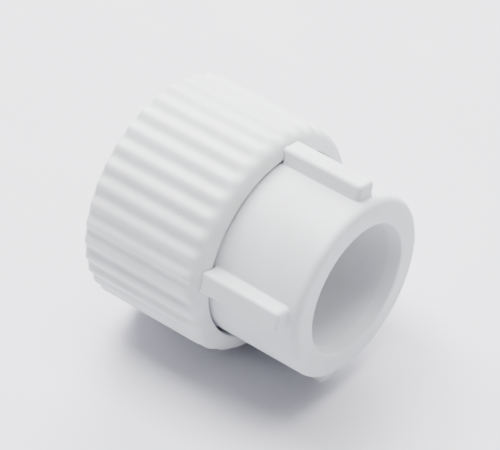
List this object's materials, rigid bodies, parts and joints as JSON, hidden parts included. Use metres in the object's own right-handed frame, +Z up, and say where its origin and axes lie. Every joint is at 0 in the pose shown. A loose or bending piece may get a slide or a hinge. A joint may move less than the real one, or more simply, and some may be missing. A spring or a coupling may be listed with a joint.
{
  "type": "union fitting",
  "caption": "Swivel half of a plastic pipe union: welding socket with grip lugs, captive ribbed union nut with threaded brass ring, and flat face seal.",
  "frame": {"origin": "centre of the pipe stop at the bottom of the pipe socket, on the pipe axis", "axes": "+X along the pipe axis, looking out of the pipe socket; +Z up with the fitting lying on its nut"},
  "size_m": [0.0441, 0.0438, 0.0438],
  "materials": {
    "socket_plastic": "matte moulded polypropylene, off-white",
    "nut_plastic": "matte moulded polypropylene, off-white",
    "slip_plastic": "smooth acetal, ivory",
    "brass": "turned brass with a thin nickel plating",
    "seal_rubber": "black sealing rubber"
  },
  "bodies": {
    "tail": {"socket_body": "socket_plastic", "tailpiece": "brass", "tail_o_ring": "seal_rubber", "face_gasket": "seal_rubber"},
    "slip": {"slip_ring": "slip_plastic"},
    "nut": {"union_nut": "nut_plastic", "thread_ring": "brass"}
  },
  "joints": [
    {"name": "nut_float", "type": "slide", "parent": "tail", "child": "slip", "axis": [-1, 0, 0], "range_m": [0, 0.0012]},
    {"name": "nut_spin", "type": "hinge", "parent": "slip", "child": "nut", "pos_m": [-0.0088, 0, 0], "axis": [1, 0, 0], "continuous": true}
  ]
}
